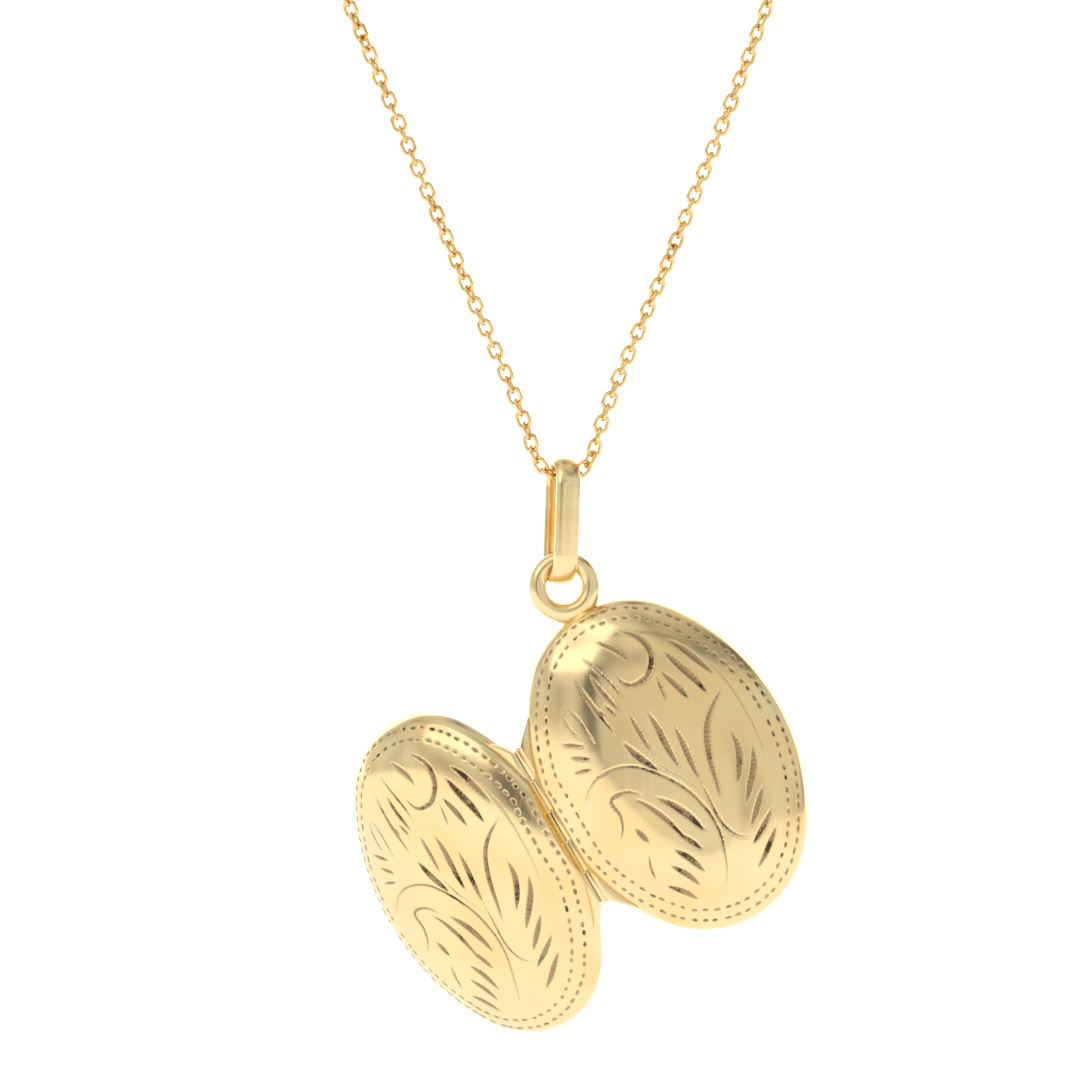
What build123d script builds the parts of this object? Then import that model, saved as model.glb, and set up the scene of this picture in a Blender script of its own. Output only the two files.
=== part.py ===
from build123d import *
import math
import os

# Oval gold locket on a trace chain, in millimetres. +Z is up and the chain runs along X where the
# locket hangs on it. The origin is the inner top of the bail, where the bail bears on the chain.
# Each half is built closed, in its own frame: X across, Z along towards the hanging ring, Y = 0 the
# plane in which the halves meet, the front half on the -Y side. The back half is its mirror image.

# Covers
half_length = 13.7          # of the oval, along Z
half_width = 10.0
end_radius = 8.0            # the oval is four tangent arcs, two of this radius
dome_height = 3.4           # of one cover
shoulder_radius = 1.9       # the dome's section: a tight shoulder, then a shallow crown
shoulder_turn = 50.0
shell = 0.45                # thickness of the sheet
meeting_gap = 0.04          # from each half to the meeting plane
spine_offset = 9.35        # flat spine of each cover, from the middle

# Hinge
hinge_offset = 9.5         # hinge axis from the middle
hinge_half_length = 6.8
knuckle_count = 5
knuckle_radius = 0.42
knuckle_gap = 0.06          # between neighbours
pin_radius = 0.2
running_clearance = 0.05
leaf_height = 0.75           # up the spine from the meeting plane
leaf_back = 9.45            # outer face of each leaf, just short of the axis
leaf_reach = (6.7, 6.6)      # half lengths of the front and back leaves, at the axis
leaf_slant = 2.0             # how much longer each is where it meets the cover
opening = 142.1             # angle between the halves as it hangs

# Mouth of each half
rim_thickness = 0.5
rim_width = 2.4             # from the oval's outline to the opening for the picture
rebate = 0.75               # how deep the back rim plate sits, to take the closing lip
lip_height = 0.68
lip_thickness = 0.35
lip_clearance = 0.12
lip_start = -4.0            # the lip stops here, clear of the hinge
bead_radius = 0.1
bead_length = 2.4

# Picture frames
frame_clearance = 0.1
frame_flange = 1.0
frame_wall = 0.3
frame_depth = 0.85
flange_thickness = 0.25
film_thickness = 0.15
card_thickness = 0.2
layer_gap = 0.05

# Hanging ring and bail
ring_hole = 1.36
ring_wire = 0.7             # radius of the wire
ring_drop = 16.0            # ring centre to the middle of the oval
ring_setback = 0.75         # ring plane to the meeting plane
ring_centre = (0.05, 0.0, -9.3)
locket_tilt = -30.1
locket_pitch = -2.5          # its foot hangs forward, because the open half weighs it down behind
bail_inside = 8.35
bail_depth = 3.2            # inside, front to back
bail_strip = 0.85
bail_width = 1.9
bail_round = 0.4
bail_ease = 0.18
bail_turn = 13.0
bail_lean = 2.0

# Chain, as a tube of its outer diameter. Each corner's arc takes 0.45 of its shorter run.
chain_diameter = 1.23
arc_share = 0.45
chain_route = [
    (-18.3, 0, 39.7), (-15.0, 0, 32.0), (-7.5, 0, 13.5), (-3.85, 0, 4.1),
    (-1.9, 0, -0.8), (2.0, 0, -0.78),
    (3.95, 0, 4.3), (7.3, 0, 13.4), (14.3, 0, 31.4), (17.2, 0, 39.7),
]

# Fittings at the chain's ends
jump_ring_radius = 1.15
jump_wire = 0.22
loop_radius = 0.85
loop_wire = 0.25
link_play = 0.03
clasp_radius = 2.4
clasp_tube = 0.6
clasp_bore = 0.42
bolt_radius = 0.36
mouth_angle = 60
bolt_travel = 58
bolt_start = -5             # tip of the bolt, in the far end of the tube
bolt_tail = 150
stop_angle = 300
clasp_end = 358
knob_angle = 84
knob_radius = 0.3
knob_reach = 0.75
slot_width = 0.72
slot_play = 10             # degrees past the knob's middle at each end
spring_outer = 0.34
spring_inner = 0.22
end_ring_outer = 1.75
end_ring_bore = 1.15
end_ring_thickness = 0.5
seat_overlap = 0.1          # the chain's end sinks this far into a fitting


# Worked out: the side arcs of the oval, and where they meet the end arcs
end_centre = half_length - end_radius
side_radius = (end_centre ** 2 + half_width ** 2 - end_radius ** 2) / (2 * (half_width - end_radius))
side_centre = side_radius - half_width
side_half_angle = math.degrees(math.atan2(end_centre, side_centre))
end_half_angle = 90 - side_half_angle
# radius, half angle, middle direction and centre of each arc, anticlockwise from +X
oval_arcs = [
    (side_radius, side_half_angle, 0, (-side_centre, 0)),
    (end_radius, end_half_angle, 90, (0, end_centre)),
    (side_radius, side_half_angle, 180, (side_centre, 0)),
    (end_radius, end_half_angle, 270, (0, -end_centre)),
]

# Worked out: the crown of the dome, tangent to the shoulder and level at the flat top
rise = math.sin(math.radians(shoulder_turn))
crown_radius = (dome_height - shoulder_radius * rise) / (1 - rise)
fall = math.cos(math.radians(shoulder_turn))
crown_reach = shoulder_radius * (1 - fall) + crown_radius * fall


def slab(near, far, left=-50.0):
    """Everything from Y = -near to Y = -far and to the right of X = left."""
    size = 100.0
    return Pos(left + size / 2, -(near + far) / 2, 0) * Box(size, far - near, size)


def oval(inset, near, far):
    """Upright block from Y = -near to Y = -far, its outline drawn in by inset."""
    edges = [
        CenterArc(centre, radius - inset, middle - half, 2 * half)
        for radius, half, middle, centre in oval_arcs
    ]
    face = Plane.XZ * make_face(Curve() + edges)
    return Pos(0, -near, 0) * extrude(face, amount=far - near)


def dome(inset=0.0):
    """Solid cushion-shaped half oval on the -Y side, drawn in by inset all over."""
    solid = oval(crown_reach, 0, dome_height - inset)
    for radius, half, middle, (x, z) in oval_arcs:
        shoulder = CenterArc((radius - shoulder_radius, 0), shoulder_radius - inset,
                             -shoulder_turn, shoulder_turn)
        crown = CenterArc((radius - crown_reach, crown_radius - dome_height),
                          crown_radius - inset, -90, 90 - shoulder_turn)
        flat = radius - crown_reach
        base = Polyline((flat, inset - dome_height), (flat, 0), (radius - inset, 0))
        section = make_face(Curve() + [shoulder, crown, base])
        wedge = revolve(section, Axis.Y, 2 * half)
        solid += Pos(x, 0, z) * Rot(0, -middle - half, 0) * wedge
    return solid


def hinge_rod(radius, low, high):
    """Round bar on the hinge axis between two heights."""
    rod = Cylinder(radius, high - low, align=(Align.CENTER, Align.CENTER, Align.MIN))
    return Pos(-hinge_offset, 0, low) * rod


def spans(first):
    """Heights of every second knuckle, starting with number first."""
    pitch = 2 * hinge_half_length / knuckle_count
    for n in range(first, knuckle_count, 2):
        low = -hinge_half_length + n * pitch
        yield low + knuckle_gap / 2, low + pitch - knuckle_gap / 2


def cover():
    outside = dome() & slab(meeting_gap, 10, -spine_offset)
    inside = dome(shell) & slab(-1, 10, shell - spine_offset)
    reach = hinge_half_length + knuckle_gap
    return outside - inside - hinge_rod(knuckle_radius + running_clearance, -reach, reach)


def rim_plate(depth):
    """Flat oval frame across the mouth, its face at the given depth."""
    blank = dome(shell) & slab(depth, depth + rim_thickness, shell - spine_offset)
    return blank - oval(rim_width, 0, depth + 2 * rim_thickness)


def hinge_leaf(first):
    """Strip along the spine and its shoulders. It holds every second knuckle, from number first."""
    inner = half_width - rim_width
    reach = leaf_reach[first]
    longest = reach + leaf_slant
    strip = Box(leaf_back - inner, leaf_height - meeting_gap, 2 * longest)
    strip = Pos(-(leaf_back + inner) / 2, -(leaf_height + meeting_gap) / 2, 0) * strip
    top = strip.faces().sort_by(Axis.Y)[0].edges().sort_by(Axis.X)[0]
    strip = chamfer(top, leaf_height / 3)
    leaf = strip - (dome() & slab(-1, 10, -spine_offset))
    root = leaf_back - leaf_slant
    corners = [(-leaf_back, reach), (-root, longest), (-inner, longest),
               (-inner, -longest), (-root, -longest), (-leaf_back, -reach)]
    leaf = leaf & extrude(Plane.XZ * make_face(Polyline(*corners, close=True)), amount=2)
    end = hinge_half_length + knuckle_gap
    room = hinge_rod(knuckle_radius + running_clearance, -end, end)
    for low, high in spans(first):
        band = Pos(0, 0, (low + high) / 2) * Box(50, 10, high - low)
        room = (room - band) + hinge_rod(knuckle_radius, low, high)
    return leaf - room


def knuckles(first, bore):
    tubes = []
    for low, high in spans(first):
        tubes.append(hinge_rod(knuckle_radius, low, high) - hinge_rod(bore, low - 1, high + 1))
    return Compound(children=tubes)


def lip_inset():
    """How far in the lip stands to clear the inner wall of the other cover at its top."""
    inner = shoulder_radius - shell
    return shoulder_radius - math.sqrt(inner ** 2 - lip_height ** 2) + lip_clearance


def closing_lip():
    inset = lip_inset()
    wall = oval(inset, -lip_height, meeting_gap) - oval(inset + lip_thickness, -1, 1)
    return wall & slab(-lip_height, meeting_gap, lip_start)


def snap_bead():
    reach = half_width - lip_inset()
    rod = Pos(reach, lip_height / 2, 0) * Cylinder(bead_radius, bead_length)
    return rod - closing_lip()


def photo_frame(depth):
    """Oval frame with a flange in front and a thin wall behind it."""
    outline = rim_width + frame_clearance
    back = depth + frame_depth
    frame = oval(outline, depth, back) - oval(outline + frame_flange, depth - 1, back + 1)
    return frame - oval(outline + frame_wall, depth + flange_thickness, back + 1)


def insert(depth, thickness):
    """Flat oval that lies in the pocket of a photo frame."""
    return oval(rim_width + frame_clearance + frame_wall + layer_gap, depth, depth + thickness)


def picture_parts(side, rim_depth):
    """Rim plate, photo frame, film and card of one half, by node name."""
    frame_face = rim_depth + layer_gap
    film_face = frame_face + flange_thickness + layer_gap
    card_face = film_face + film_thickness + layer_gap
    return {
        f"{side}_rim": rim_plate(rim_depth),
        f"{side}_photo_frame": photo_frame(frame_face),
        f"{side}_window": insert(film_face, film_thickness),
        f"{side}_card": insert(card_face, card_thickness),
    }


def hanging_ring():
    """Wire ring on the top edge of the front cover, with the neck of solder that holds it."""
    centreline = ring_hole + ring_wire
    foot = half_length - 0.5
    neck = Pos(0, 0, foot) * Cone(1.15, 0.7, 0.9, align=(Align.CENTER, Align.CENTER, Align.MIN))
    ring = Pos(0, -ring_setback, ring_drop) * Rot(90, 0, 0) * Torus(centreline, ring_wire)
    blank = ring + Pos(0, -ring_setback, 0) * neck
    return (blank & slab(2 * meeting_gap, 10)) - dome()


def bail():
    outer = Plane.YZ * SlotOverall(bail_inside + 2 * bail_strip, bail_depth + 2 * bail_strip,
                                   rotation=90)
    inner = Plane.YZ * SlotOverall(bail_inside, bail_depth, rotation=90)
    loop = Pos(0, 0, -bail_inside / 2) * extrude(outer - inner, bail_width / 2, both=True)
    sides = [loop.faces().sort_by(Axis.X)[i] for i in (0, -1)]
    loop = fillet([e for f in sides for e in f.outer_wire().edges()], bail_round)
    sides = [loop.faces().sort_by(Axis.X)[i] for i in (0, -1)]
    loop = fillet([e for f in sides for w in f.inner_wires() for e in w.edges()], bail_ease)
    return Rot(0, bail_lean, 0) * Rot(0, 0, bail_turn) * loop


def chain_tube():
    points = [Vector(*p) for p in chain_route]
    radii = []
    for before, corner, after in zip(points, points[1:], points[2:]):
        turn = (corner - before).get_angle(after - corner)
        shorter = min((corner - before).length, (after - corner).length)
        radii.append(arc_share * shorter / math.tan(math.radians(turn / 2)))
    print("chain radii", [round(r, 1) for r in radii])
    path = FilletPolyline(*points, radius=radii)
    tube = sweep(Plane(origin=path @ 0, z_dir=path % 0) * Circle(chain_diameter / 2), path=path)
    section = math.pi * (chain_diameter / 2) ** 2
    print("chain length", round(path.length, 2), "volume share", tube.volume / section / path.length)
    return tube


def run_out(end, before):
    """Point and unit direction in which the chain leaves at one end."""
    direction = (Vector(*end) - Vector(*before)).normalized()
    return Vector(*end), direction


def in_line(point, direction):
    """Frame at a point with Z along the direction, Y kept across the chain's plane."""
    return Plane(origin=point, x_dir=Vector(0, 1, 0).cross(direction), z_dir=direction).location


def arc_bar(radius, start, end, inner=0.0):
    """Bent round bar, or tube, on the clasp's circle between two angles, in the XZ plane."""
    section = Plane.XZ * Pos(clasp_radius, 0) * Circle(radius)
    if inner:
        section -= Plane.XZ * Pos(clasp_radius, 0) * Circle(inner)
    bar = revolve(section, Axis.Z, end - start)
    return Rot(90, 0, 0) * Rot(0, 0, start) * bar


def around_clasp(angle, part):
    """Turns a part that stands on the clasp's X axis to an angle round its circle."""
    return Rot(90, 0, 0) * Rot(0, 0, angle) * part


def thumb_knob(radius, reach):
    stem = Rot(0, 90, 0) * Cylinder(radius, reach, align=(Align.CENTER, Align.CENTER, Align.MIN))
    return Pos(clasp_radius, 0, 0) * stem


def clasp_parts():
    """Bolt ring clasp with its centre at the origin and its anchor loop below."""
    tube = arc_bar(clasp_tube, mouth_angle, clasp_end, clasp_bore)
    stop = arc_bar(clasp_bore + 0.02, stop_angle, stop_angle + 8)
    reach = clasp_tube + 1
    groove = Plane.XZ * Pos(clasp_radius + reach / 2, 0) * Rectangle(reach, slot_width)
    slot = Rot(90, 0, 0) * Rot(0, 0, knob_angle - slot_play) * revolve(
        groove, Axis.Z, bolt_travel + 2 * slot_play)
    body = tube - slot + stop
    knob = around_clasp(knob_angle, thumb_knob(knob_radius, clasp_tube + knob_reach))
    bolt = arc_bar(bolt_radius, bolt_start, bolt_tail) + knob
    spring = arc_bar(spring_outer, bolt_tail + 1, stop_angle - 1, spring_inner)
    return {"clasp_body": body, "clasp_trigger": bolt, "clasp_spring": spring}


def chain_fittings():
    """The clasp with its rings at the left end, and the end ring at the right end."""
    parts = {}
    end, up = run_out(chain_route[0], chain_route[1])
    centre = jump_ring_radius + jump_wire - seat_overlap
    jump = in_line(end, up) * Pos(0, 0, centre) * Rot(0, 90, 0)
    parts["clasp_jump_ring"] = jump * Torus(jump_ring_radius, jump_wire)
    centre += jump_ring_radius - jump_wire - loop_wire - link_play + loop_radius
    loop = in_line(end, up) * Pos(0, 0, centre) * Rot(90, 0, 0) * Torus(loop_radius, loop_wire)
    centre += loop_radius + loop_wire + clasp_radius + clasp_tube - 2 * seat_overlap
    clasp = in_line(end, up) * Pos(0, 0, centre) * Rot(0, -60, 0)
    for name, solid in clasp_parts().items():
        parts[name] = clasp * solid
    shell_outside = clasp * arc_bar(clasp_tube, mouth_angle, clasp_end)
    parts["clasp_anchor_loop"] = loop - shell_outside
    middle = clasp.position
    print("clasp axis through", [round(c, 3) for c in middle])
    end, up = run_out(chain_route[-1], chain_route[-2])
    ring = in_line(end, up) * Pos(0, 0, end_ring_outer - seat_overlap) * Rot(90, 0, 0)
    washer = Cylinder(end_ring_outer, end_ring_thickness) - Cylinder(end_ring_bore, 1)
    rims = washer.edges().filter_by(GeomType.CIRCLE).sort_by(SortBy.RADIUS)[-2:]
    parts["chain_end_ring"] = ring * fillet(rims, end_ring_thickness / 3)
    print("end ring centre", [round(c, 3) for c in ring.position])
    return parts


def locket_place():
    """Puts a closed locket where it hangs in the bail."""
    hang = Pos(*ring_centre) * Rot(locket_pitch, 0, 0) * Rot(0, locket_tilt, 0)
    return hang * Pos(0, ring_setback, -ring_drop)


def opened(part):
    """Mirrors a front part to the back half and turns it open about the hinge."""
    turned = Pos(-hinge_offset, 0, 0) * Rot(0, 0, opening) * Pos(hinge_offset, 0, 0)
    return turned * mirror(part, Plane.XZ)


def front_half():
    parts = {
        "front_cover": cover(),
        "front_hinge_leaf": hinge_leaf(0),
        "front_knuckles": knuckles(0, pin_radius),
        "hinge_pin": hinge_rod(pin_radius, -hinge_half_length - 0.1, hinge_half_length + 0.1),
        "closing_lip": closing_lip(),
        "snap_bead": snap_bead(),
        "hanging_ring": hanging_ring(),
    }
    parts.update(picture_parts("front", meeting_gap))
    return parts


def back_half():
    parts = {
        "back_cover": cover(),
        "back_hinge_leaf": hinge_leaf(1),
        "back_knuckles": knuckles(1, pin_radius + running_clearance),
    }
    parts.update(picture_parts("back", meeting_gap + rebate))
    return {name: opened(part) for name, part in parts.items()}


place = locket_place()
nodes = {name: place * part for name, part in {**front_half(), **back_half()}.items()}
nodes["bail"] = bail()
nodes["chain"] = chain_tube()
nodes.update(chain_fittings())
pivot = (place * Pos(-hinge_offset, 0, 0)).position
print("hinge axis through", [round(c, 3) for c in pivot])

os.makedirs("parts", exist_ok=True)
for name, part in nodes.items():
    export_step(part, f"parts/{name}.step")
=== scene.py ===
import math

import bpy
import numpy as np
from mathutils import Matrix, Vector


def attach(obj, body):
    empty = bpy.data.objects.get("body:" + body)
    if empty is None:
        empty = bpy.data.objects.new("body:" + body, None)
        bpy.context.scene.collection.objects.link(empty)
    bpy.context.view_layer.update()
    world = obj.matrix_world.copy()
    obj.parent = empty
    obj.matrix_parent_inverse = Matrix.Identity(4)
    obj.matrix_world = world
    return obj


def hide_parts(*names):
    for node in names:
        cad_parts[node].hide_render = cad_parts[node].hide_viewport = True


# Looks of an open oval gold locket on a trace chain. Metres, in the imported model's own frame:
# +Z up, the covers' outsides towards -Y, the origin at the inner top of the bail.

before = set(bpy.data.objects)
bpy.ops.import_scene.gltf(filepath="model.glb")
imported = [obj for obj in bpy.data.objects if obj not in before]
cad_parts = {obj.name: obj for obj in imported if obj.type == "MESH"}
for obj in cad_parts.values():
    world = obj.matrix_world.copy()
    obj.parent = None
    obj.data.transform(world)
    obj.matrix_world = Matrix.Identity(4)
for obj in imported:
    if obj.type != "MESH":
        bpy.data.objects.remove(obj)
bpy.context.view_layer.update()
MM = 0.001

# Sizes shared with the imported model
HALF_LENGTH, HALF_WIDTH = 13.7 * MM, 10.0 * MM
END_RADIUS = 8.0 * MM                               # of the arc at each end of the oval
DOME_HEIGHT = 3.4 * MM
SHOULDER, SHOULDER_TURN = 1.9 * MM, math.radians(50)
SHELL = 0.45 * MM                                   # thickness of the sheet
MEETING_GAP = 0.04 * MM                             # from each rim to the meeting plane
SPINE = 9.35 * MM                                   # where the oval is cut flat for the hinge
HINGE = 9.5 * MM                                    # the hinge axis, out from the middle
CHANNEL = 0.47 * MM                                 # radius of the hollow round the hinge tube
HINGE_HALF_LENGTH = 6.86 * MM                       # of that hollow
RING_CENTRE = Vector((0.05, 0, -9.3)) * MM
RING_DROP, RING_SETBACK = 16.0 * MM, 0.75 * MM      # from the ring's centre to the oval's middle
RING_HOLE, RING_WIRE = 1.36 * MM, 0.7 * MM
PITCH, TILT, OPENING = math.radians(-2.5), math.radians(-30.1), math.radians(142.1)

# Where a closed half stands in the row frame, and how the back half is turned open
HANG = (Matrix.Translation(RING_CENTRE) @ Matrix.Rotation(PITCH, 4, "X")
        @ Matrix.Rotation(TILT, 4, "Y"))
PLACE = HANG @ Matrix.Translation((0, RING_SETBACK, -RING_DROP))
TURN = (Matrix.Translation((-HINGE, 0, 0)) @ Matrix.Rotation(OPENING, 4, "Z")
        @ Matrix.Translation((HINGE, 0, 0)))
MIRROR = Matrix.Diagonal((1, -1, 1, 1))
HALVES = {"front": PLACE, "back": PLACE @ TURN @ MIRROR}


# ---------------------------------------------------------------- shader maths

class Value:
    """A socket that adds Math nodes when it is used in an expression."""

    def __init__(self, shader, socket):
        self.shader, self.socket = shader, socket

    def _math(self, operation, *others):
        inputs = {0: self, **dict(enumerate(others, 1))}
        return self.shader.node("ShaderNodeMath", {"operation": operation}, inputs)

    def __add__(self, other):
        return self._math("ADD", other)

    def __sub__(self, other):
        return self._math("SUBTRACT", other)

    def __rsub__(self, other):
        return self.shader.node("ShaderNodeMath", {"operation": "SUBTRACT"}, {0: other, 1: self})

    def __mul__(self, other):
        return self._math("MULTIPLY", other)

    __radd__, __rmul__ = __add__, __mul__

    def over(self, low, high):
        """0 below low, 1 above high, smooth between."""
        settings = {"interpolation_type": "SMOOTHSTEP"}
        return self.shader.node("ShaderNodeMapRange", settings, {0: self, 1: low, 2: high})


class Shader:
    """One material, built from node calls."""

    def __init__(self, name):
        self.material = bpy.data.materials.new(name)
        self.material.use_nodes = True
        self.tree = self.material.node_tree
        self.surface = self.tree.nodes["Principled BSDF"]

    def feed(self, socket, value):
        if isinstance(value, Value):
            self.tree.links.new(value.socket, socket)
        else:
            socket.default_value = value

    def node(self, kind, settings=None, inputs=None, output=0):
        node = self.tree.nodes.new(kind)
        for name, value in (settings or {}).items():
            if name == "stops":
                ramp = node.color_ramp
                while len(ramp.elements) < len(value):
                    ramp.elements.new(0.5)
                for element, (place, colour) in zip(ramp.elements, value):
                    element.position, element.color = place, (*colour, 1)
            else:
                setattr(node, name, value)
        for key, value in (inputs or {}).items():
            self.feed(node.inputs[key], value)
        return Value(self, node.outputs[output])

    def place(self):
        return self.node("ShaderNodeTexCoord", output=3)

    def noise(self, scale, detail=2.0, stretch=(1, 1, 1), output=0):
        where = self.node("ShaderNodeMapping", None, {0: self.place(), 3: stretch})
        return self.node("ShaderNodeTexNoise", None,
                         {"Vector": where, "Scale": scale, "Detail": detail}, output)

    def scratches(self, scale, stretch, thinness=0.03):
        """Thin lines where a stretched noise crosses its middle value."""
        band = self.noise(scale, 1.0, stretch) - 0.5
        size = band._math("ABSOLUTE")
        return 1 - size.over(0.0, thinness)

    def mix(self, amount, first, second):
        return self.node("ShaderNodeMix", {"data_type": "RGBA"},
                         {0: amount, 6: first, 7: second}, output=2)

    def bump(self, height, distance, strength=1.0, normal=None):
        inputs = {"Height": height, "Distance": distance, "Strength": strength}
        if normal:
            inputs["Normal"] = normal
        return self.node("ShaderNodeBump", None, inputs)

    def finish(self, **sockets):
        names = {"base": "Base Color", "rough": "Roughness", "metal": "Metallic", "normal": "Normal",
                 "alpha": "Alpha", "ior": "IOR"}
        for name, value in sockets.items():
            if isinstance(value, tuple) and len(value) == 3:
                value = (*value, 1)
            self.feed(self.surface.inputs[names[name]], value)
        return self.material


# ---------------------------------------------------------------- materials

PALE_GOLD = (0.84, 0.66, 0.355, 1)
WARM_GOLD = (0.82, 0.60, 0.27, 1)
GREEN_GOLD = (0.77, 0.64, 0.36, 1)
DEEP_GOLD = (0.80, 0.54, 0.19, 1)
CUT_BROWN = (0.42, 0.29, 0.15, 1)
# painted dark reflection, laid as near-black patches into the cuts
PAINTED_DARK_REFLECTION = (0.08, 0.055, 0.03, 1)


def engraved_gold():
    """Hand polished cover: slow waviness, hairlines, and matt brown in the cuts, with patches of
    painted dark reflection in them.
    """
    gold = Shader("engraved_gold")
    cut = gold.node("ShaderNodeAttribute", {"attribute_name": "cut"}, output=2)
    drift = gold.noise(170, 2.0)
    tarnish = gold.noise(95, 3.0)
    # where this noise is high, the cuts get painted dark reflection instead of brown
    painted_reflection_patches = gold.noise(420, 3.0) * 0.75 + gold.noise(5200, 2.0) * 0.25
    hairs = gold.scratches(900, (1, 1, 0.06)) * gold.scratches(260, (1, 0.3, 1), 0.3)
    bright = gold.mix(drift.over(0.35, 0.7), PALE_GOLD, WARM_GOLD)
    bright = gold.mix(tarnish.over(0.48, 0.68), bright, GREEN_GOLD)
    # colour in the cuts: brown, with patches of painted dark reflection
    cut_brown_and_painted_reflection = gold.mix(painted_reflection_patches.over(0.53, 0.63), CUT_BROWN, PAINTED_DARK_REFLECTION)
    base = gold.mix((cut * 1.1).over(0.10, 0.8), bright, cut_brown_and_painted_reflection)
    rough = 0.12 + drift * 0.05 + hairs * 0.06 + cut * 0.3
    waves = gold.bump(gold.noise(230, 1.5), 0.00006, 0.5)
    dents = gold.bump(gold.noise(900, 1.0), 0.000008, 0.3, waves)
    chatter = gold.bump(gold.noise(5200, 2.0) * cut, 0.00008, 1.0, dents)
    lines = gold.bump(hairs, 0.000002, 0.3, chatter)
    return gold.finish(base=base, metal=1.0, rough=rough, normal=lines)


def polished_gold(name="polished_gold", tone=PALE_GOLD, deep=DEEP_GOLD, rough=0.17):
    """Smooth wire and bail: bright, with faint rubbing marks."""
    gold = Shader(name)
    drift = gold.noise(420, 2.0)
    marks = gold.scratches(1500, (1, 1, 0.12))
    base = gold.mix(drift.over(0.45, 0.8), tone, deep)
    waves = gold.bump(gold.noise(600, 1.0), 0.00003, 0.35)
    lines = gold.bump(marks, 0.0000015, 0.3, waves)
    return gold.finish(base=base, metal=1.0, rough=rough + drift * 0.06 + marks * 0.05,
                       normal=lines)


def satin_gold():
    """Inner plates and hinge: a fine grain that runs along the piece."""
    gold = Shader("satin_gold")
    grain = gold.noise(2600, 3.0, (1, 1, 0.08))
    drift = gold.noise(300, 2.0)
    base = gold.mix(drift.over(0.3, 0.7), PALE_GOLD, WARM_GOLD)
    lines = gold.bump(grain, 0.000006, 0.4)
    return gold.finish(base=base, metal=1.0, rough=0.2 + grain * 0.14, normal=lines)


def clear_film():
    """Acetate window with a few rub marks."""
    film = Shader("clear_film")
    marks = film.scratches(700, (1, 0.4, 1), 0.02)
    haze = film.noise(240, 2.0)
    return film.finish(base=(0.93, 0.95, 0.94), rough=0.05 + haze * 0.06 + marks * 0.2,
                       alpha=0.16 + marks * 0.1, ior=1.49, normal=film.bump(haze, 0.00002, 0.2))


def plain_card():
    """Blank card insert with a soft fibre."""
    card = Shader("card")
    fibre = card.noise(1500, 4.0, (1, 1, 0.5))
    age = card.noise(120, 3.0)
    base = card.mix(age.over(0.3, 0.8), (0.83, 0.80, 0.73, 1), (0.76, 0.71, 0.62, 1))
    return card.finish(base=base, rough=0.82 + fibre * 0.1, normal=card.bump(fibre, 0.00003, 0.5))


def spring_steel():
    wire = Shader("spring_steel")
    drawn = wire.noise(3000, 2.0)
    base = wire.mix(drawn, (0.55, 0.55, 0.55, 1), (0.66, 0.66, 0.67, 1))
    return wire.finish(base=base, metal=1.0, rough=0.25 + drawn * 0.1)


def solder():
    """Cast skin of the solder at the foot of the ring."""
    gold = Shader("solder_gold")
    skin = gold.noise(2400, 4.0)
    pool = gold.noise(600, 2.0)
    base = gold.mix(skin.over(0.42, 0.62), DEEP_GOLD, WARM_GOLD)
    base = gold.mix(pool.over(0.55, 0.75), base, CUT_BROWN)
    return gold.finish(base=base, metal=1.0, rough=0.24 + skin * 0.12,
                       normal=gold.bump(skin, 0.00004, 0.8))


MATERIALS = {
    "solder": solder(),
    "engraved_gold": engraved_gold(),
    "polished_gold": polished_gold(),
    "satin_gold": satin_gold(),
    "chain_gold": polished_gold("chain_gold", (0.83, 0.58, 0.26, 1), (0.66, 0.40, 0.12, 1), 0.08),
    "clear_film": clear_film(),
    "card": plain_card(),
    "spring_steel": spring_steel(),
}


# ---------------------------------------------------------------- mesh helpers

def only(obj):
    """Makes obj the one selected and active object."""
    bpy.ops.object.select_all(action="DESELECT")
    obj.select_set(True)
    bpy.context.view_layer.objects.active = obj
    return obj


def points_of(obj):
    co = np.empty(len(obj.data.vertices) * 3)
    obj.data.vertices.foreach_get("co", co)
    return co.reshape(-1, 3)


def set_points(obj, co):
    obj.data.vertices.foreach_set("co", np.asarray(co, float).ravel())
    obj.data.update()


def outwards(obj):
    only(obj)
    bpy.ops.object.mode_set(mode="EDIT")
    bpy.ops.mesh.select_all(action="SELECT")
    bpy.ops.mesh.normals_make_consistent(inside=False)
    bpy.ops.object.mode_set(mode="OBJECT")


def soften(obj, width, segments=2, angle=30):
    """Rounds the piece's sharp edges and shades it smooth."""
    only(obj)
    bevel = obj.modifiers.new("edges", "BEVEL")
    bevel.width, bevel.segments, bevel.limit_method = width, segments, "ANGLE"
    bevel.angle_limit = math.radians(angle)
    bevel.use_clamp_overlap = True
    bpy.ops.object.modifier_apply(modifier=bevel.name)
    bpy.ops.object.shade_smooth_by_angle(angle=math.radians(35))


def place_mesh(obj, matrix):
    """Moves the piece's place into its mesh, turned the right way round after a mirror."""
    obj.data.transform(matrix @ obj.matrix_world)
    obj.matrix_world = Matrix.Identity(4)
    if matrix.determinant() < 0:
        obj.data.flip_normals()


def dress(obj, body, slot, replaced=(), finish=None):
    obj.data.materials.clear()
    obj.data.materials.append(MATERIALS[finish or slot])
    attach(obj, body)
    if replaced:
        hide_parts(*replaced)
    return obj


# ---------------------------------------------------------------- the oval and its dome

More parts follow.
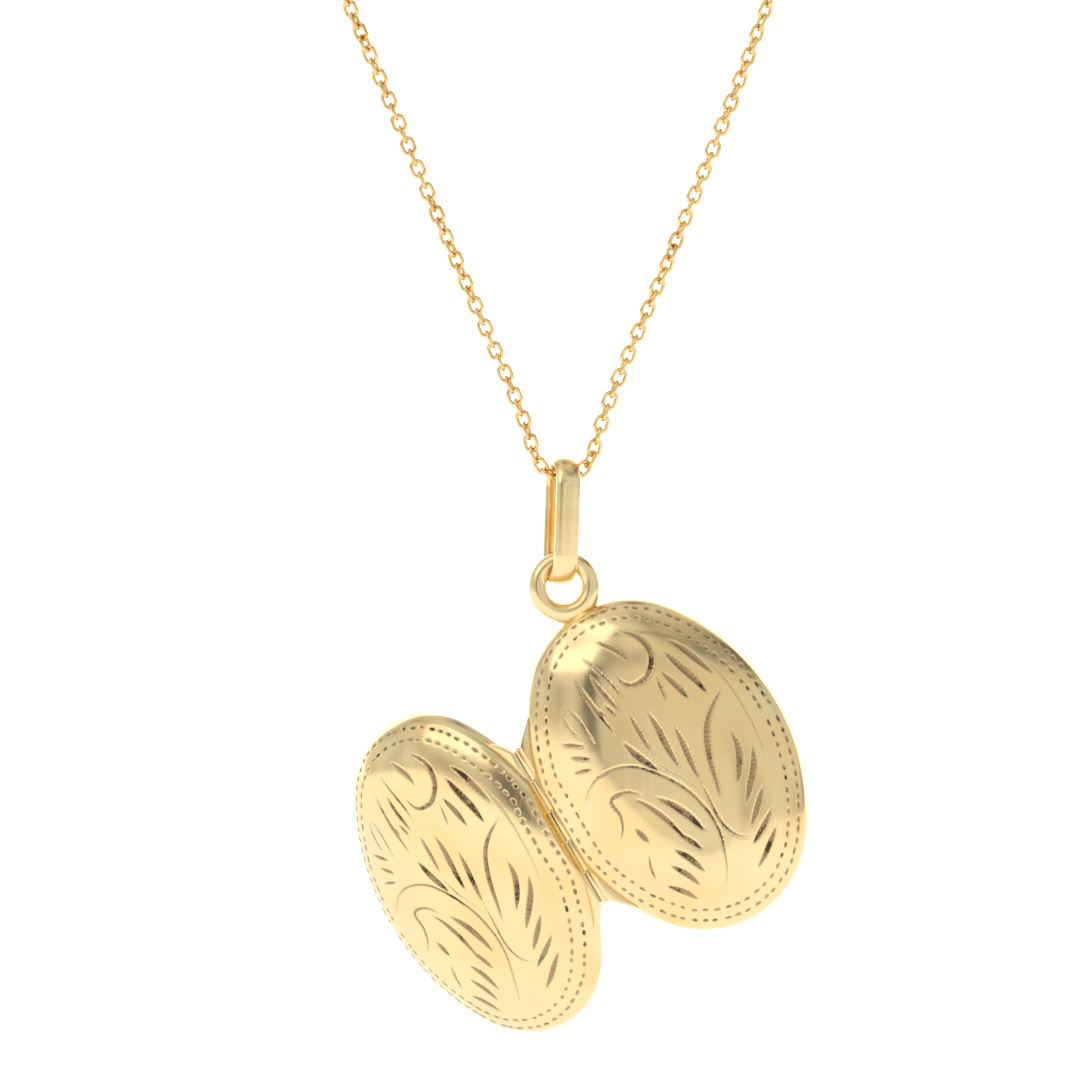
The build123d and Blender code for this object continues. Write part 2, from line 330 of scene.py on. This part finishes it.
END_CENTRE = HALF_LENGTH - END_RADIUS
SIDE_RADIUS = ((END_CENTRE ** 2 + HALF_WIDTH ** 2 - END_RADIUS ** 2)
               / (2 * (HALF_WIDTH - END_RADIUS)))
SIDE_CENTRE = SIDE_RADIUS - HALF_WIDTH
MEETING_ANGLE = math.atan2(END_CENTRE, SIDE_CENTRE)
RISE, FALL = math.sin(SHOULDER_TURN), math.cos(SHOULDER_TURN)
CROWN = (DOME_HEIGHT - SHOULDER * RISE) / (1 - RISE)
CROWN_REACH = SHOULDER * (1 - FALL) + CROWN * FALL


def outline(turn):
    """Points of the oval (across, along) in the directions given by an array of angles."""
    way = np.stack([np.cos(turn), np.sin(turn)], -1)
    corner = np.array([SIDE_RADIUS * math.cos(MEETING_ANGLE) - SIDE_CENTRE,
                       SIDE_RADIUS * math.sin(MEETING_ANGLE)])
    at_end = np.abs(way[..., 1]) * corner[0] > np.abs(way[..., 0]) * corner[1]
    end = np.stack([0 * turn, END_CENTRE * np.sign(way[..., 1])], -1)
    side = np.stack([-SIDE_CENTRE * np.sign(way[..., 0]), 0 * turn], -1)
    centre = np.where(at_end[..., None], end, side)
    radius = np.where(at_end, END_RADIUS, SIDE_RADIUS)
    along = (way * centre).sum(-1)
    reach = along + np.sqrt(along ** 2 - (centre ** 2).sum(-1) + radius ** 2)
    return way * reach[..., None], centre, radius


def depth_inside(across, along):
    """Distance in from the oval's outline."""
    beside = np.abs(across) * END_CENTRE / SIDE_CENTRE
    at_end = np.abs(along) > END_CENTRE + beside
    end = END_RADIUS - np.hypot(across, np.abs(along) - END_CENTRE)
    side = SIDE_RADIUS - np.hypot(np.abs(across) + SIDE_CENTRE, along)
    return np.where(at_end, end, side)


def dome_height_at(depth):
    """Height of the dome a given distance in from its outline."""
    depth = np.clip(depth, 0, CROWN_REACH)
    shoulder = np.sqrt(np.clip(SHOULDER ** 2 - (SHOULDER - depth) ** 2, 0, None))
    crown = DOME_HEIGHT - CROWN + np.sqrt(CROWN ** 2 - (CROWN_REACH - depth) ** 2)
    return np.where(depth < SHOULDER * (1 - FALL), shoulder, crown)


def even_radius():
    """Share of the outline's reach at even steps over the dome, from the middle to the rim."""
    share = np.linspace(0, 1, 4000)
    reach = (HALF_LENGTH + HALF_WIDTH) / 2
    height = dome_height_at((1 - share) * reach)
    step = np.hypot(np.diff(share) * reach, np.diff(height))
    return np.concatenate([[0], np.cumsum(step)]) / step.sum(), share


# ---------------------------------------------------------------- engraving
# Each cut is (half width at its thickest, depth, points), in millimetres from the middle of the
# oval: across, then along towards the hanging ring.

LEAF, FINE = (0.30, 0.17), (0.13, 0.08)
CUTS = [
    # hooked scroll at the top, with its short veins
    (0.24, 0.15, [(1.8, 10.9), (2.7, 10.0), (3.2, 8.9), (3.0, 7.7), (2.2, 6.8), (1.4, 6.6),
                  (0.6, 6.7), (0.1, 7.2), (-0.1, 8.0)]),
    (0.22, 0.12, [(-0.1, 11.0), (0.6, 10.1), (1.1, 9.3), (1.3, 8.4)]),
    (*FINE, [(-1.7, 10.5), (-1.2, 9.2), (-0.7, 7.5), (-0.5, 6.0)]),
    (0.18, 0.10, [(-3.0, 9.3), (-2.9, 7.6), (-2.7, 5.8), (-2.4, 3.9)]),
    (0.20, 0.12, [(-1.8, 8.9), (-1.6, 7.2), (-1.2, 5.4)]),
    # leaves hanging down the middle
    (*LEAF, [(-2.2, 3.2), (-1.7, 1.6), (-0.9, -0.1)]),
    (0.22, 0.12, [(-0.7, 4.9), (-0.7, 3.3), (-0.7, 1.5)]),
    (*LEAF, [(0.6, 4.3), (0.7, 3.0), (0.6, 1.1), (0.6, -0.7)]),
    (0.26, 0.16, [(1.9, 2.3), (1.8, 0.8), (1.6, -0.9), (1.5, -2.2)]),
    (*FINE, [(1.5, -2.0), (1.4, -4.0), (1.3, -5.3), (1.4, -6.4), (1.9, -7.5), (2.8, -8.2)]),
    # four blades at the upper right
    (0.24, 0.14, [(4.8, 8.4), (5.5, 7.2), (6.1, 5.7), (6.6, 4.3)]),
    (*LEAF, [(4.1, 7.7), (4.6, 6.2), (5.1, 4.7), (5.4, 3.2)]),
    (0.26, 0.15, [(3.1, 6.5), (3.6, 5.0), (3.9, 3.6)]),
    (*FINE, [(2.6, 6.2), (2.3, 4.3)]),
    # long stem on the right and the fronds beside it
    (0.25, 0.16, [(6.5, 2.9), (5.3, 2.2), (4.2, 1.2), (3.5, 0.0), (3.0, -1.3), (2.6, -2.9),
                  (2.2, -4.3)]),
    (*LEAF, [(5.5, -0.3), (5.4, -1.5), (4.8, -2.8), (3.9, -4.0)]),
    (*LEAF, [(6.4, -2.1), (5.8, -3.3), (4.9, -4.4), (3.7, -5.7)]),
    (0.26, 0.15, [(5.5, -5.2), (4.5, -6.2), (3.2, -7.4)]),
    (0.24, 0.14, [(5.3, -7.0), (4.0, -7.9), (2.6, -8.7)]),
    (0.24, 0.14, [(4.9, -8.4), (3.9, -9.2), (3.0, -9.9), (2.0, -10.5)]),
    # great scroll that sweeps from the hinge side to the foot
    (0.14, 0.10, [(-7.3, 0.3), (-6.3, 1.3), (-5.1, 1.8), (-3.7, 1.7), (-2.4, 1.1), (-1.4, 0.1),
                  (-0.5, -1.1), (0.3, -2.6), (0.7, -4.0), (0.9, -5.3), (0.8, -6.7), (0.4, -8.1),
                  (-0.2, -9.5), (-1.1, -10.8)]),
    (0.15, 0.10, [(-6.3, -3.4), (-5.6, -2.7), (-5.2, -1.6), (-5.3, -0.4), (-4.7, -0.1),
                  (-3.7, -0.4), (-2.8, -1.3)]),
    (0.22, 0.13, [(-3.7, -1.0), (-3.0, -2.0), (-2.3, -3.6), (-1.9, -5.0), (-1.6, -5.9)]),
    (*LEAF, [(-2.1, -1.8), (-1.2, -3.1), (-0.6, -4.4), (-0.1, -6.0)]),
    (0.24, 0.15, [(-4.7, -3.1), (-4.5, -3.8), (-4.3, -4.5)]),
    (*FINE, [(-4.8, -5.3), (-5.2, -6.4), (-5.3, -7.4)]),
    # leaves inside the great scroll
    (0.22, 0.13, [(-2.0, -5.1), (-1.4, -6.2), (-1.0, -7.1)]),
    (0.26, 0.15, [(-2.9, -6.0), (-2.2, -7.2), (-1.7, -8.7)]),
    (0.24, 0.14, [(-3.8, -6.9), (-3.0, -8.2), (-2.5, -9.5)]),
    (0.24, 0.14, [(-4.8, -8.2), (-3.9, -9.2), (-3.2, -10.3)]),
    # faint leaf outline at the upper left, and two nicks inside it
    (0.08, 0.05, [(-4.7, 8.0), (-5.2, 7.2), (-5.2, 6.0), (-4.9, 4.9)]),
    (0.09, 0.06, [(-4.7, 8.0), (-4.3, 6.6), (-4.2, 5.4), (-4.1, 4.2)]),
    (0.15, 0.13, [(-2.0, 6.4), (-1.8, 5.8), (-1.6, 5.3)]),
    (0.10, 0.08, [(-2.6, 6.4), (-2.4, 5.6)]),
    # long shading line inside the right border
    (0.06, 0.04, [(6.2, 6.6), (7.0, 4.2), (7.3, 1.6), (7.2, -1.4), (6.6, -4.4)]),
    (0.06, 0.04, [(-1.0, 1.6), (-0.3, -0.4), (0.6, -2.0), (1.2, -3.4)]),
    # three ticks beside the hinge
    (0.18, 0.11, [(-6.4, 5.4), (-4.9, 4.4)]),
    (0.18, 0.11, [(-6.3, 4.2), (-5.0, 3.3)]),
    (0.16, 0.10, [(-6.7, 3.0), (-5.3, 2.6)]),
]
DASH_ROWS = [(0.72, 0.30), (1.55, 1.30)]        # in from the outline, and in from the spine
DASH_PITCH, DASH_LENGTH, DASH_HALF_WIDTH, DASH_DEPTH = 0.87, 0.60, 0.145, 0.09
DASH_STEP, DASH_WANDER = 0.03, 0.018            # spacing of a row's points, and drift off the row
CHATTER = 0.34                                  # spacing of the tool marks in a cut
STROKE_BLUNT, DASH_BLUNT = 0.55, 0.4            # smaller is fuller towards the ends
STROKE_RIBS, DASH_RIBS = 0.25, 0.0              # share of the depth in the tool marks


def smooth_line(points, step=0.05):
    """Even points along a smooth curve through the given ones."""
    ends = [2 * points[0] - points[1], *points, 2 * points[-1] - points[-2]]
    line = []
    for a, b, c, d in zip(ends, ends[1:], ends[2:], ends[3:]):
        t = np.linspace(0, 1, 24, endpoint=False)[:, None]
        line.append(0.5 * (2 * b + (c - a) * t + (2 * a - 5 * b + 4 * c - d) * t ** 2
                           + (3 * b - a - 3 * c + d) * t ** 3))
    line = np.concatenate([*line, [points[-1]]])
    return evenly(line, step)


def evenly(line, step):
    length = np.concatenate([[0], np.cumsum(np.linalg.norm(np.diff(line, axis=0), axis=1))])
    count = max(int(length[-1] / step), 2)
    at = np.linspace(0, length[-1], count + 1)
    return np.stack([np.interp(at, length, line[:, i]) for i in range(line.shape[1])], -1)


def groove(spots, line, half_width, depth, blunt, chatter):
    """Depth and share of one cut at each spot: widest in its middle, pointed at both ends."""
    low, high = line.min(0) - half_width, line.max(0) + half_width
    near = np.flatnonzero(((spots > low) & (spots < high)).all(1))
    if not len(near):
        return near, np.zeros(0), np.zeros(0)
    gap = np.linalg.norm(spots[near][:, None] - line[None], axis=2)
    nearest = gap.argmin(1)
    share = nearest / (len(line) - 1)
    swell = np.sin(np.pi * np.clip(share, 0.01, 0.99)) ** blunt
    across = np.clip(1 - (gap.min(1) / (half_width * swell)) ** 2, 0, 1)
    step = np.linalg.norm(line[1] - line[0])
    phase = 2 * np.pi * nearest * step / CHATTER + 1.7 * np.sin(0.9 * nearest * step)
    ribs = 1 + chatter * np.sin(phase)
    return near, depth * swell * across * ribs, across ** 0.6 * swell ** 0.5


def dash_lines(seed):
    """Short lines of the two punched rows that follow the outline and the spine."""
    dice = np.random.default_rng(seed)
    turn = np.linspace(0, 2 * np.pi, 1441)
    for inset, from_spine in DASH_ROWS:
        edge, centre, radius = outline(turn)
        row = centre + (edge - centre) * (1 - inset * MM / radius)[:, None]
        row = row / MM
        row[:, 0] = np.maximum(row[:, 0], from_spine - SPINE / MM)
        row = evenly(row, DASH_STEP)
        pitch = round(DASH_PITCH / DASH_STEP)
        for start in range(0, len(row) - pitch, pitch):
            start += int(dice.integers(-3, 4))
            size = int(DASH_LENGTH / DASH_STEP * dice.uniform(0.75, 1.15))
            piece = row[max(start, 0):start + size]
            if len(piece) > 4:
                aside = dice.normal(0, DASH_WANDER, 2)
                yield piece + aside, DASH_DEPTH * dice.uniform(0.8, 1.2)


def engrave(spots, hand, seed):
    """Depth of metal taken off, and how much each spot lies in a cut, the mask for the cuts' brown
    and painted dark reflection, over all the cuts.
    """
    depth, cut = np.zeros(len(spots)), np.zeros(len(spots))
    lines = [(smooth_line(np.array(points)) * (hand, 1), wide, deep, STROKE_BLUNT, STROKE_RIBS)
             for wide, deep, points in CUTS]
    lines += [(line, DASH_HALF_WIDTH, deep, DASH_BLUNT, DASH_RIBS)
              for line, deep in dash_lines(seed)]
    for line, wide, deep, blunt, chatter in lines:
        near, taken, share = groove(spots, line, wide, deep, blunt, chatter)
        depth[near] = np.maximum(depth[near], taken)
        cut[near] = np.maximum(cut[near], share * min(1.0, 0.45 + deep * 3.6))
    return depth, cut


# ---------------------------------------------------------------- covers

GRID = 290                  # fine enough for the cuts, and under 200,000 triangles a cover
HANDS = {"front": 1, "back": -1}    # so that both patterns read the same way from outside
CROWNING = 0.16 * MM        # how much the flat of the dome falls away from its middle
LINING_STEPS = 9


def ring_mesh(name, rings, capped):
    """Mesh of quads between closed rings of equal count, with the last ring filled."""
    rings = np.asarray(rings)
    rows, count = rings.shape[:2]
    faces = []
    for row in range(rows - 1):
        first, second = row * count, (row + 1) * count
        faces += [(first + i, first + (i + 1) % count, second + (i + 1) % count, second + i)
                  for i in range(count)]
    if capped:
        faces.append(tuple((rows - 1) * count + i for i in range(count)))
    mesh = bpy.data.meshes.new(name)
    mesh.from_pydata(rings.reshape(-1, 3).tolist(), [], faces)
    obj = bpy.data.objects.new(name, mesh)
    bpy.context.collection.objects.link(obj)
    return obj


def clear_hinge(co, spine, channel):
    """Presses the side of the shell flat along the spine and round the hinge tube."""
    co[:, 0] = np.maximum(co[:, 0], -spine)
    away = np.stack([co[:, 0] + HINGE, co[:, 1]], -1)
    reach = np.hypot(*away.T)
    inside = (reach < channel) & (np.abs(co[:, 2]) < HINGE_HALF_LENGTH)
    scale = channel / np.maximum(reach[inside], 1e-9)
    co[inside, 0] = -HINGE + away[inside, 0] * scale
    co[inside, 1] = np.minimum(away[inside, 1] * scale, -MEETING_GAP)
    return co


def lining_rings(rim):
    """Rings from the rim across the edge of the sheet and up the inside of the dome."""
    turn = np.arctan2(rim[:, 2], rim[:, 0])
    edge, centre, radius = outline(turn)
    steps = np.linspace(math.asin(MEETING_GAP / (SHOULDER - SHELL)), SHOULDER_TURN, LINING_STEPS - 4)
    path = [(SHOULDER - (SHOULDER - SHELL) * math.cos(a), (SHOULDER - SHELL) * math.sin(a))
            for a in steps]
    for a in np.linspace(SHOULDER_TURN, math.pi / 2, 5)[1:]:
        path.append((CROWN_REACH - (CROWN - SHELL) * math.cos(a),
                     DOME_HEIGHT - CROWN + (CROWN - SHELL) * math.sin(a)))
    rings = [rim]
    for inset, height in path:
        flat = centre + (edge - centre) * (1 - inset / radius)[:, None]
        ring = np.stack([flat[:, 0], np.full(len(turn), -height), flat[:, 1]], -1)
        rings.append(clear_hinge(ring, SPINE - SHELL, 0))
    return rings


def cover(side, seed):
    """Engraved dome: a fine grid pressed to the oval, cut, and closed with its inner face."""
    bpy.ops.mesh.primitive_grid_add(x_subdivisions=GRID, y_subdivisions=GRID, size=2)
    obj = bpy.context.object
    obj.name = obj.data.name = f"{side}_cover_engraved"
    square = points_of(obj)[:, :2]
    disc = square * np.sqrt(1 - square[:, ::-1] ** 2 / 2)
    turn = np.arctan2(disc[:, 1], disc[:, 0])
    steps, share = even_radius()
    share = np.interp(np.minimum(np.hypot(*disc.T), 1), steps, share)
    flat = outline(turn)[0] * share[:, None]
    height = dome_height_at(depth_inside(*flat.T))
    height -= CROWNING * 4 * share ** 2 * (1 - share ** 2)
    co = np.stack([flat[:, 0], -np.maximum(height, MEETING_GAP), flat[:, 1]], -1)
    rim = np.isclose(np.abs(square).max(1), 1)
    co[rim, 1] = -MEETING_GAP
    set_points(obj, clear_hinge(co, SPINE, CHANNEL))

    normal = np.empty(len(co) * 3)
    obj.data.vertices.foreach_get("normal", normal)
    normal = normal.reshape(-1, 3)
    if normal[:, 1].mean() > 0:
        obj.data.flip_normals()
        normal = -normal
    depth, cut = engrave(flat / MM, HANDS[side], seed)
    on_spine = flat[:, 0] < -SPINE
    depth[on_spine | rim], cut[on_spine | rim] = 0, 0
    set_points(obj, points_of(obj) - normal * (depth * MM)[:, None])
    mark = obj.data.attributes.new("cut", "FLOAT", "POINT")
    mark.data.foreach_set("value", cut.astype(np.float32))

    loop = points_of(obj)[rim]
    loop = loop[np.argsort(np.arctan2(flat[rim][:, 1], flat[rim][:, 0]))]
    lining = ring_mesh(f"{side}_lining", lining_rings(loop), True)
    only(obj)
    lining.select_set(True)
    bpy.ops.object.join()
    bpy.ops.object.mode_set(mode="EDIT")
    bpy.ops.mesh.select_all(action="SELECT")
    bpy.ops.mesh.remove_doubles(threshold=1e-7)
    bpy.ops.mesh.normals_make_consistent(inside=False)
    bpy.ops.object.mode_set(mode="OBJECT")
    bpy.ops.object.shade_smooth_by_angle(angle=math.radians(50))
    place_mesh(obj, HALVES[side])
    return dress(obj, f"{side}_half", "engraved_gold", [f"{side}_cover"])


# ---------------------------------------------------------------- ring, bail and fittings

BAIL_INSIDE, BAIL_DEPTH = 8.35 * MM, 3.2 * MM
BAIL_STRIP, BAIL_WIDTH = 0.85 * MM, 1.9 * MM
BAIL_TURN, BAIL_LEAN = math.radians(13), math.radians(2)
BAIL_ROUND, BAIL_SECTION = 160, 48              # points round the loop, and round its strip


def hanging_ring():
    """Wire ring with a soft pool of solder where it stands on the cover."""
    bpy.ops.mesh.primitive_torus_add(major_radius=RING_HOLE + RING_WIRE, minor_radius=RING_WIRE,
                                     major_segments=128, minor_segments=48,
                                     rotation=(math.pi / 2, 0, 0))
    ring = bpy.context.object
    ring.name = ring.data.name = "hanging_ring_wire"
    bpy.ops.object.transform_apply(rotation=True)
    co = points_of(ring)
    reach = np.hypot(co[:, 0], co[:, 2])
    outer = reach > RING_HOLE + RING_WIRE
    below = np.clip(-co[:, 2] / (RING_HOLE + 2 * RING_WIRE), 0, 1) ** 6
    spread = 0.5 * MM * below * outer
    co[:, 0] += np.sign(co[:, 0]) * spread * np.clip(np.abs(co[:, 0]) / RING_WIRE, 0, 1)
    wear = 0.02 * MM * (np.sin(3 * np.arctan2(co[:, 0], co[:, 2])) - 1)
    co[:, 1] *= 1 + wear / RING_WIRE
    set_points(ring, co)
    place_mesh(ring, HANG)
    bpy.ops.object.shade_smooth()
    return dress(ring, "front_half", "polished_gold", ["hanging_ring"])


def solder_pool():
    """Lumpy fillet of solder between the ring's foot and the edge of the cover."""
    foot = RING_HOLE + 2 * RING_WIRE
    bpy.ops.object.select_all(action="DESELECT")
    bpy.ops.mesh.primitive_ico_sphere_add(subdivisions=5, radius=1)
    pool = bpy.context.object
    pool.name = pool.data.name = "ring_solder"
    co = points_of(pool)
    lumps = sum(np.sin(co @ way * 5.5 + shift) for way, shift in
                ((np.array((1, 0.4, 0.7)), 0.3), (np.array((-0.6, 1, 0.5)), 1.9),
                 (np.array((0.3, -0.8, 1.1)), 4.1)))
    co *= (1 + 0.028 * lumps)[:, None]
    waist = 0.72 + 0.28 * np.clip(-co[:, 2], -1, 1)
    co[:, 0] *= 1.75 * MM * waist
    co[:, 1] *= 0.66 * MM
    co[:, 2] = co[:, 2] * 0.62 * MM - foot - 0.05 * MM
    set_points(pool, co)
    only(pool)
    bpy.ops.object.shade_smooth()
    place_mesh(pool, HANG)
    return dress(pool, "front_half", "polished_gold", finish="solder")


def bail():
    """Long loop, flat inside and half round outside."""
    middle = (BAIL_DEPTH + BAIL_STRIP) / 2
    bpy.ops.mesh.primitive_torus_add(major_radius=middle, minor_radius=1,
                                     major_segments=BAIL_ROUND, minor_segments=BAIL_SECTION,
                                     rotation=(math.pi / 2, 0, math.pi / 2))
    loop = bpy.context.object
    loop.name = loop.data.name = "bail_loop"
    bpy.ops.object.transform_apply(rotation=True)
    co = points_of(loop)
    turn = np.repeat(np.arange(BAIL_ROUND) * 2 * math.pi / BAIL_ROUND, BAIL_SECTION)
    section = np.tile(np.arange(BAIL_SECTION) * 2 * math.pi / BAIL_SECTION, BAIL_ROUND)
    # the section: a D, its flat towards the inside of the loop
    out, side = np.sin(section), np.cos(section)
    side = np.sign(side) * np.abs(side) ** np.where(out < 0, 0.5, 0.94)
    out = np.sign(out) * np.abs(out) ** np.where(out < 0, 0.35, 1.0)
    straight = (BAIL_INSIDE - BAIL_DEPTH) / 2
    radius = middle + out * BAIL_STRIP / 2
    co[:, 0] = side * BAIL_WIDTH / 2
    co[:, 1] = radius * np.cos(turn)
    co[:, 2] = radius * np.sin(turn) + straight * np.sign(np.sin(turn) + 1e-9)
    co[:, 2] -= BAIL_INSIDE / 2
    set_points(loop, co)
    outwards(loop)
    bpy.ops.object.shade_smooth()
    place_mesh(loop, Matrix.Rotation(BAIL_LEAN, 4, "Y") @ Matrix.Rotation(BAIL_TURN, 4, "Z"))
    return dress(loop, "bail", "polished_gold", ["bail"])


def rounded_copy(node, body, slot, width):
    """A finished piece made from a frame node: welded, its edges rounded when a width is given,
    shaded smooth.
    """
    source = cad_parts[node]
    obj = source.copy()
    obj.data = source.data.copy()
    obj.name = obj.data.name = f"{node}_finished"
    obj.parent = None
    for key in list(obj.keys()):
        del obj[key]
    bpy.context.collection.objects.link(obj)
    only(obj)
    bpy.ops.object.mode_set(mode="EDIT")
    bpy.ops.mesh.select_all(action="SELECT")
    bpy.ops.mesh.remove_doubles(threshold=1e-6)
    bpy.ops.mesh.tris_convert_to_quads(face_threshold=0.02, shape_threshold=0.7)
    bpy.ops.object.mode_set(mode="OBJECT")
    if width:
        soften(obj, width)
    else:
        bpy.ops.object.shade_smooth_by_angle(angle=math.radians(35))
    return dress(obj, body, slot, [node])


# ---------------------------------------------------------------- chain

ROUTE = [
    (-0.0183, 0, 0.0397), (-0.0150, 0, 0.0320), (-0.0073, 0, 0.0135), (-0.0031, 0, 0.0041),
    (-0.00185, 0, -0.00082), (0.0019, 0, -0.0008),
    (0.0031, 0, 0.0043), (0.0071, 0, 0.0134), (0.0143, 0, 0.0314), (0.0172, 0, 0.0397),
]
LINK_WIRE, LINK_HALF_WIDTH, LINK_HALF_LENGTH = 0.165 * MM, 0.46 * MM, 0.645 * MM
LINK_PITCH = 2 * (LINK_HALF_LENGTH - LINK_WIRE)
LINK_LEAN, LINK_WAVE, LINK_SCATTER = 17, 11, 6      # degrees that a link turns about the line


def chain_line():
    """Points along the chain's own smooth curve."""
    data = bpy.data.curves.new("chain_route", "CURVE")
    data.dimensions = "3D"
    data.resolution_u = 40
    spline = data.splines.new("NURBS")
    spline.points.add(len(ROUTE) - 1)
    for point, place in zip(spline.points, ROUTE):
        point.co = (*place, 1)
    spline.order_u = 3
    spline.use_endpoint_u = True
    holder = bpy.data.objects.new("chain_route", data)
    bpy.context.collection.objects.link(holder)
    bpy.context.view_layer.update()
    mesh = bpy.data.meshes.new_from_object(holder)
    line = np.array([v.co for v in mesh.vertices])
    bpy.data.objects.remove(holder)
    return line


def chain_link():
    """One oval link of round wire, on its side along X."""
    bpy.ops.mesh.primitive_torus_add(major_radius=LINK_HALF_WIDTH, minor_radius=LINK_WIRE,
                                     major_segments=22, minor_segments=9)
    link = bpy.context.object
    co = points_of(link)
    co[:, 0] += np.sign(np.round(co[:, 0], 7)) * (LINK_HALF_LENGTH - LINK_HALF_WIDTH)
    set_points(link, co)
    bpy.ops.object.shade_smooth()
    return link


def trace_chain():
    line = chain_line()
    places = evenly(line, LINK_PITCH)
    dice = np.random.default_rng(7)
    link = chain_link()
    links = []
    for number, (here, there) in enumerate(zip(places, places[1:])):
        along = Vector(there - here).normalized()
        upright = Vector((0, 1, 0))
        drift = LINK_LEAN + LINK_WAVE * math.sin(0.31 * number) + dice.normal(0, LINK_SCATTER)
        turn = math.radians(drift - (90 if number % 2 else 0))
        frame_of_link = Matrix((along, upright.cross(along), upright)).transposed().to_4x4()
        copy = link.copy()
        copy.data = link.data.copy()
        spot = Matrix.Translation(Vector((here + there) / 2))
        copy.data.transform(spot @ frame_of_link @ Matrix.Rotation(turn, 4, "X"))
        bpy.context.collection.objects.link(copy)
        links.append(copy)
    bpy.data.objects.remove(link)
    only(links[0])
    for copy in links:
        copy.select_set(True)
    bpy.ops.object.join()
    chain = bpy.context.object
    chain.name = chain.data.name = "trace_chain"
    dress(chain, "necklace", "chain_gold", ["chain"])
    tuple(ROUTE[0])


# ---------------------------------------------------------------- build

def build():
    cover("front", 3)
    cover("back", 11)
    hanging_ring()
    solder_pool()
    bail()
    wanted = {
        "front_half": {
            "front_rim": ("satin_gold", 0.05), "closing_lip": ("satin_gold", 0.05),
            "snap_bead": ("satin_gold", 0), "front_photo_frame": ("polished_gold", 0.05),
            "front_window": ("clear_film", 0), "front_card": ("card", 0),
            "front_hinge_leaf": ("polished_gold", 0.06), "front_knuckles": ("polished_gold", 0.06),
            "hinge_pin": ("polished_gold", 0.05)},
        "back_half": {
            "back_rim": ("satin_gold", 0.05), "back_photo_frame": ("polished_gold", 0.05),
            "back_window": ("clear_film", 0), "back_card": ("card", 0),
            "back_hinge_leaf": ("polished_gold", 0.06), "back_knuckles": ("polished_gold", 0.06)},
        "necklace": {
            "chain_end_ring": ("chain_gold", 0.04), "clasp_body": ("chain_gold", 0),
            "clasp_anchor_loop": ("chain_gold", 0), "clasp_jump_ring": ("chain_gold", 0),
            "clasp_spring": ("spring_steel", 0)},
        "clasp_trigger": {"clasp_trigger": ("chain_gold", 0)},
    }
    for body, pieces in wanted.items():
        for node, (slot, width) in pieces.items():      # width: of the rounded edge, in mm
            rounded_copy(node, body, slot, width * MM)
    trace_chain()


# ---------------------------------------------------------------- studio

FRAME_WIDTH, LENS, SENSOR = 84.24 * MM, 200.0, 36.0
FRAME_MIDDLE = Vector((-1.83, 0, -5.69)) * MM
FLOOR = -62 * MM


def camera():
    data = bpy.data.cameras.new("camera")
    data.lens, data.sensor_width = LENS, SENSOR
    data.clip_start, data.clip_end = 0.005, 20
    view = bpy.data.objects.new("camera", data)
    view.location = FRAME_MIDDLE - Vector((0, FRAME_WIDTH * LENS / SENSOR, 0))
    view.rotation_euler = (math.pi / 2, 0, 0)
    bpy.context.collection.objects.link(view)
    bpy.context.scene.camera = view


def soft_light(name, place, size, power):
    data = bpy.data.lights.new(name, "AREA")
    data.shape, data.size, data.size_y = "RECTANGLE", *size
    data.energy = power
    lamp = bpy.data.objects.new(name, data)
    lamp.location = place
    lamp.rotation_euler = (FRAME_MIDDLE - Vector(place)).to_track_quat("-Z", "Y").to_euler()
    bpy.context.collection.objects.link(lamp)


def stage_material(name, colour, glow):
    paper = Shader(name)
    grain = paper.noise(40, 2.0)
    paper.feed(paper.surface.inputs["Emission Color"], (*colour, 1))
    paper.surface.inputs["Emission Strength"].default_value = glow
    return paper.finish(base=colour, rough=0.9 + grain * 0.05)


def board(name, place, size, facing, material):
    bpy.ops.object.select_all(action="DESELECT")
    bpy.ops.mesh.primitive_plane_add(size=1, location=place)
    card = bpy.context.object
    card.name = name
    card.scale = (*size, 1)
    card.rotation_euler = (Vector(facing) - Vector(place)).to_track_quat("Z", "Y").to_euler()
    card.data.materials.append(material)


def sky():
    """White tent with soft grey openings, which the metal picks up."""
    world = bpy.data.worlds.new("studio")
    bpy.context.scene.world = world
    world.use_nodes = True
    tree = world.node_tree
    where = tree.nodes.new("ShaderNodeTexCoord")
    noise = tree.nodes.new("ShaderNodeTexNoise")
    noise.inputs["Scale"].default_value = 2.1
    noise.inputs["Detail"].default_value = 1.5
    ramp = tree.nodes.new("ShaderNodeValToRGB")
    ramp.color_ramp.interpolation = "EASE"
    stops = [(0.33, 0.22), (0.45, 0.74), (0.60, 0.96)]
    ramp.color_ramp.elements.new(0.5)
    for element, (place, grey) in zip(ramp.color_ramp.elements, stops):
        element.position, element.color = place, (grey, grey, grey, 1)
    tree.links.new(where.outputs["Generated"], noise.inputs["Vector"])
    tree.links.new(noise.outputs[0], ramp.inputs[0])
    tree.links.new(ramp.outputs[0], tree.nodes["Background"].inputs[0])
    tree.nodes["Background"].inputs[1].default_value = 0.92


def studio():
    white = stage_material("white_paper", (0.85, 0.85, 0.85), 0.55)
    board("floor", (0, 0, FLOOR), (4, 4), (0, 0, 1), white)
    glow = stage_material("white_wall", (0.9, 0.9, 0.9), 1.1)
    board("wall", (0, 1.6, 0.5), (5, 3), (0, 0, 0.5), glow)
    sky()
    soft_light("key", (-0.30, -0.30, 0.34), (0.40, 0.40), 0.36)
    black = stage_material("black_card", (0.012, 0.012, 0.012), 0.0)
    board("flag_low", (0.06, -0.30, -0.16), (0.22, 0.012), (0, 0, 0), black)
    board("flag_high", (0.04, -0.20, 0.22), (0.20, 0.010), (0, 0, 0), black)
    bpy.context.scene.view_settings.view_transform = "Standard"


build()
camera()
studio()
